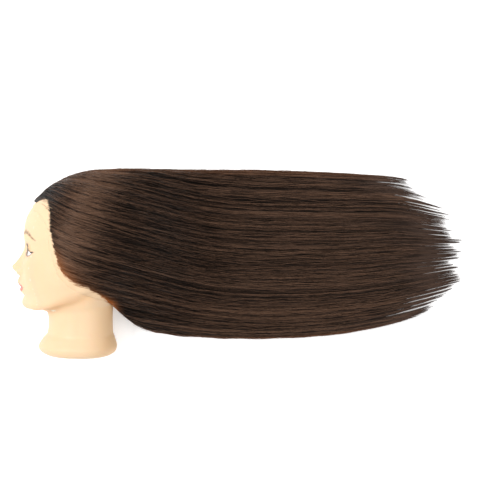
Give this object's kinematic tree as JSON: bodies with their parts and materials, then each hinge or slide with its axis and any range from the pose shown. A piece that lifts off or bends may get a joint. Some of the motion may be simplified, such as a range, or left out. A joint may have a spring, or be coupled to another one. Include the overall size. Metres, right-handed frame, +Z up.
{
  "type": "mannequin training head",
  "caption": "Soft moulded hairdressing practice head lying on its side, with long dark hair combed back and fanned out flat, and a table clamp socket in its neck.",
  "frame": {"origin": "centre of the whole object's box, on the table that it lies on", "axes": "+X from the face to the tips of the hair, +Y from the neck to the crown, +Z up from the table"},
  "size_m": [0.6602, 0.2778, 0.1609],
  "materials": {
    "skin_vinyl": "soft matte flesh-coloured vinyl",
    "scalp_vinyl": "soft matte vinyl",
    "foam": "rigid foam filling",
    "neck_plastic": "matte moulded plastic",
    "socket_plastic": "satin black plastic",
    "hair_roots": "glossy dark brown straight hair",
    "hair_lengths": "glossy dark brown straight hair",
    "hair_under": "dark brown straight hair"
  },
  "bodies": {
    "head": {"face_neck_skin": "skin_vinyl", "scalp_cap": "scalp_vinyl", "foam_core": "foam", "neck_disc": "neck_plastic", "clamp_socket": "socket_plastic", "nape_root_1": "hair_roots", "nape_root_2": "hair_roots", "lower_side_root_1": "hair_roots", "lower_side_root_2": "hair_roots", "side_root_1": "hair_roots", "side_root_2": "hair_roots", "upper_side_root_1": "hair_roots", "upper_side_root_2": "hair_roots", "crown_root_1": "hair_roots", "crown_root_2": "hair_roots", "right_root_1": "hair_under", "right_root_2": "hair_under", "right_root_3": "hair_under", "right_root_4": "hair_under", "right_root_5": "hair_under", "core_length_1": "hair_under", "core_length_2": "hair_under", "core_length_3": "hair_under", "core_length_4": "hair_under", "core_length_5": "hair_under", "right_length_1": "hair_under", "right_length_2": "hair_under", "right_length_3": "hair_under", "right_length_4": "hair_under", "right_length_5": "hair_under"},
    "nape_section": {"nape_length_1": "hair_lengths", "nape_length_2": "hair_lengths"},
    "lower_side_section": {"lower_side_length_1": "hair_lengths", "lower_side_length_2": "hair_lengths"},
    "side_section": {"side_length_1": "hair_lengths", "side_length_2": "hair_lengths"},
    "upper_side_section": {"upper_side_length_1": "hair_lengths", "upper_side_length_2": "hair_lengths"},
    "crown_section": {"crown_length_1": "hair_lengths", "crown_length_2": "hair_lengths"}
  },
  "joints": [
    {"name": "nape_lift", "type": "hinge", "parent": "head", "child": "nape_section", "pos_m": [-0.13565, -0.07445, 0.08186], "axis": [0, -1, 0], "range_deg": [0, 80]},
    {"name": "lower_side_lift", "type": "hinge", "parent": "head", "child": "lower_side_section", "pos_m": [-0.13565, -0.02775, 0.11643], "axis": [0, -1, 0], "range_deg": [0, 80]},
    {"name": "side_lift", "type": "hinge", "parent": "head", "child": "side_section", "pos_m": [-0.13565, 0.01895, 0.1277], "axis": [0, -1, 0], "range_deg": [0, 80]},
    {"name": "upper_side_lift", "type": "hinge", "parent": "head", "child": "upper_side_section", "pos_m": [-0.13565, 0.06565, 0.1277], "axis": [0, -1, 0], "range_deg": [0, 80]},
    {"name": "crown_lift", "type": "hinge", "parent": "head", "child": "crown_section", "pos_m": [-0.13565, 0.11235, 0.11591], "axis": [0, -1, 0], "range_deg": [0, 80]}
  ]
}
